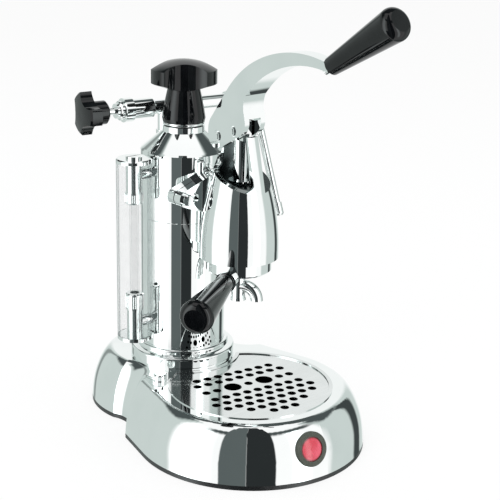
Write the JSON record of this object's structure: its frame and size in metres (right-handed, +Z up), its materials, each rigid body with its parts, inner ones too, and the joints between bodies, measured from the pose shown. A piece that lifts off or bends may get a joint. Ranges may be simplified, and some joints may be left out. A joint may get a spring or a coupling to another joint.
{
  "type": "manual lever espresso machine",
  "caption": "Manual lever espresso machine: chromed boiler and bell-shaped group on a low base, with portafilter, steam wand, sight glass, drip tray and black knobs.",
  "frame": {"origin": "middle of the base's underside, on the surface that the machine stands on", "axes": "+Z up, the user stands on the -Y side, +X to the user's right"},
  "size_m": [0.2033, 0.3453, 0.3909],
  "materials": {
    "chrome": "polished chrome plate",
    "steel": "bright steel",
    "black_steel": "black enamel",
    "brass": "turned brass",
    "rubber": "black rubber",
    "black_plastic": "glossy black phenolic",
    "matte_plastic": "matte black",
    "grey_plastic": "satin dark grey",
    "red_lens": "glossy red lens",
    "glass": "clear glass",
    "clear_plastic": "clear plastic"
  },
  "bodies": {
    "machine": {"base_feet": "rubber", "base_plate": "black_steel", "base_screws": "steel", "base_shell": "chrome", "boiler_collar": "chrome", "boiler_head": "chrome", "boiler_nut": "brass", "boiler_tube": "chrome", "button_bezel": "grey_plastic", "cord_inlet": "matte_plastic", "cylinder_sleeve": "brass", "deck_screw": "chrome", "element_flange": "brass", "element_gasket": "rubber", "gland_nut": "chrome", "group_body": "chrome", "group_bolts": "chrome", "group_gasket": "rubber", "group_seal": "rubber", "heating_element": "steel", "inlet_pins": "brass", "neck_plug": "chrome", "rod_guide": "chrome", "shield_bottom_plate": "chrome", "shield_top_plate": "chrome", "shower_screen": "steel", "sight_glass": "glass", "sight_lower_fitting": "chrome", "sight_nuts": "chrome", "sight_seals": "rubber", "sight_shield": "clear_plastic", "sight_upper_fitting": "chrome", "switch_body": "matte_plastic", "thermostat": "matte_plastic", "valve_body": "chrome", "wand_nut": "chrome"},
    "drip_tray": {"drip_tray": "steel"},
    "drip_grille": {"drip_grille": "steel"},
    "button": {"power_button": "red_lens"},
    "cap_carrier": {"cap_gasket": "rubber"},
    "cap": {"boiler_cap": "black_plastic", "cap_plug": "chrome"},
    "spindle": {"valve_spindle": "chrome"},
    "knob": {"steam_knob": "black_plastic"},
    "wand": {"steam_wand": "chrome", "steam_tip": "chrome"},
    "lever": {"lever_arm": "chrome", "lever_handle": "black_plastic", "lever_pivot_pin": "chrome", "lever_rod_pin": "chrome", "pin_clips": "chrome"},
    "piston": {"piston": "brass", "piston_seals": "rubber", "piston_rod": "chrome"},
    "portafilter": {"portafilter_body": "chrome", "portafilter_ferrule": "chrome", "portafilter_handle": "black_plastic", "filter_basket": "steel", "basket_spring": "steel", "portafilter_spout": "chrome"}
  },
  "joints": [
    {"name": "lever_swing", "type": "hinge", "parent": "machine", "child": "lever", "pos_m": [0, -0.0062, 0.2647], "axis": [1, 0, 0], "range_deg": [-20, 46.5]},
    {"name": "piston_stroke", "type": "slide", "parent": "machine", "child": "piston", "axis": [0, 0, -1], "range_m": [-0.0072, 0.0166]},
    {"name": "filter_turn", "type": "hinge", "parent": "machine", "child": "portafilter", "pos_m": [0, -0.0254, 0.16], "axis": [0, 0, 1], "range_deg": [0, 57.3]},
    {"name": "cap_lift", "type": "slide", "parent": "machine", "child": "cap_carrier", "axis": [0, 0, 1], "range_m": [0, 0.008]},
    {"name": "cap_turn", "type": "hinge", "parent": "cap_carrier", "child": "cap", "pos_m": [0, 0.052, 0.29], "axis": [0, 0, 1], "range_deg": [0, 1440]},
    {"name": "spindle_lift", "type": "slide", "parent": "machine", "child": "spindle", "axis": [-0.9893, 0.1461, 0], "range_m": [0, 0.00225]},
    {"name": "knob_turn", "type": "hinge", "parent": "spindle", "child": "knob", "pos_m": [0, 0.079, 0.2745], "axis": [-0.9893, 0.1461, 0], "range_deg": [0, 540]},
    {"name": "wand_swivel", "type": "hinge", "parent": "machine", "child": "wand", "pos_m": [0, 0.079, 0.2745], "axis": [0.9893, -0.1461, 0], "range_deg": [-35, 40]},
    {"name": "button_press", "type": "slide", "parent": "machine", "child": "button", "axis": [0.1493, 0.9425, -0.299], "range_m": [0, 0.003], "stiffness_N_per_m": 300},
    {"name": "tray_lift", "type": "slide", "parent": "machine", "child": "drip_tray", "axis": [0, 0, 1], "range_m": [0, 0.035]},
    {"name": "grille_lift", "type": "slide", "parent": "drip_tray", "child": "drip_grille", "axis": [0, 0, 1], "range_m": [0, 0.03]}
  ],
  "couplings": [
    {"joint": "piston_stroke", "follows": "lever_swing", "m_per_rad": 0.0194},
    {"joint": "cap_turn", "follows": "cap_lift", "rad_per_m": 3141.6},
    {"joint": "knob_turn", "follows": "spindle_lift", "rad_per_m": 4188.8}
  ]
}
